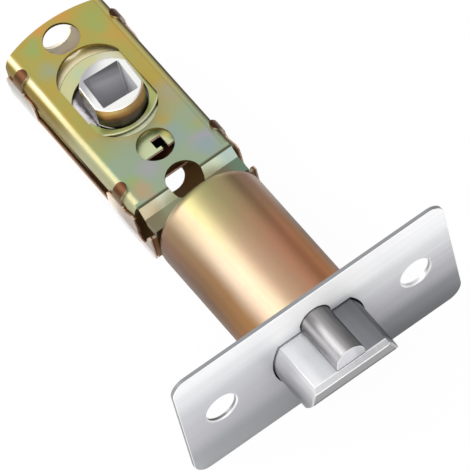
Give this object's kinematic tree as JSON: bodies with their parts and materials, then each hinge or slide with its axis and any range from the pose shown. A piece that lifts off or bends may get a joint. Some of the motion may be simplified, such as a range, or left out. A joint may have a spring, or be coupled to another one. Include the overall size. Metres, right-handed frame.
{
  "type": "tubular door latch",
  "caption": "Tubular spring latch with rectangular faceplate, bevelled bolt, half-round deadlocking plunger, round barrel and folded case with a square-socket hub.",
  "frame": {"origin": "middle of the faceplate's front face, on the barrel's axis", "axes": "+X out of the door edge along the barrel and the bolt, +Y along the faceplate's length, +Z along the spindle axis, the case's flat cover side up"},
  "size_m": [0.0932, 0.0572, 0.0286],
  "materials": {
    "stainless_plate": "brushed along its length",
    "barrel_zinc": "satin yellow zinc plating",
    "die_cast": "as cast",
    "bolt_metal": "satin plated die casting",
    "plain_steel": "plain steel",
    "pin_steel": "ground steel",
    "spring_wire": "drawn wire",
    "plunger_metal": "polished plated",
    "lever_steel": "hardened steel",
    "retractor_steel": "oiled steel",
    "cover_zinc": "rainbow yellow zinc plating",
    "base_zinc": "pale zinc plating with copper-toned edges",
    "inner_zinc": "pale green zinc plating",
    "disc_zinc": "pale yellow-green zinc plating",
    "hub_metal": "bright die casting"
  },
  "bodies": {
    "case": {"faceplate": "stainless_plate", "front_tube": "barrel_zinc", "guide_bush": "die_cast", "spring_seat": "plain_steel", "rod_guide": "plain_steel", "lever_bracket": "plain_steel", "lever_pin": "pin_steel", "case_cover": "cover_zinc", "case_base": "base_zinc", "inner_plate_upper": "inner_zinc", "inner_plate_lower": "inner_zinc", "disc_upper": "disc_zinc", "disc_lower": "disc_zinc", "bolt_spring": "spring_wire", "plunger_spring": "spring_wire"},
    "hub_body": {"hub": "hub_metal"},
    "retractor_body": {"retractor": "retractor_steel"},
    "bolt_body": {"latch_bolt": "bolt_metal", "bolt_tail": "plain_steel", "tail_pin": "pin_steel"},
    "plunger_body": {"plunger": "plunger_metal", "plunger_rod": "pin_steel"},
    "lever_body": {"blocking_lever": "lever_steel"}
  },
  "joints": [
    {"name": "hub_turn", "type": "hinge", "parent": "case", "child": "hub_body", "pos_m": [-0.0603, 0, 0], "axis": [0, 0, 1], "range_deg": [0, 75]},
    {"name": "retractor_slide", "type": "slide", "parent": "case", "child": "retractor_body", "axis": [-1, 0, 0], "range_m": [0, 0.0115]},
    {"name": "latch_bolt_slide", "type": "slide", "parent": "case", "child": "bolt_body", "axis": [-1, 0, 0], "range_m": [0, 0.0115], "stiffness_N_per_m": 300, "springref_m": -0.004, "deforming": ["bolt_spring"]},
    {"name": "plunger_slide", "type": "slide", "parent": "case", "child": "plunger_body", "axis": [-1, 0, 0], "range_m": [0, 0.0102], "stiffness_N_per_m": 120, "springref_m": -0.003, "deforming": ["plunger_spring"]},
    {"name": "lever_tilt", "type": "hinge", "parent": "case", "child": "lever_body", "pos_m": [-0.0286, 0.0026, 0.0057], "axis": [0, 1, 0], "range_deg": [0, 2.6]}
  ],
  "couplings": [
    {"joint": "retractor_slide", "follows": "latch_bolt_slide", "ratio": 1},
    {"joint": "hub_turn", "follows": "latch_bolt_slide", "rad_per_m": 113.8},
    {"joint": "lever_tilt", "follows": "plunger_slide", "rad_per_m": 4.2777}
  ]
}
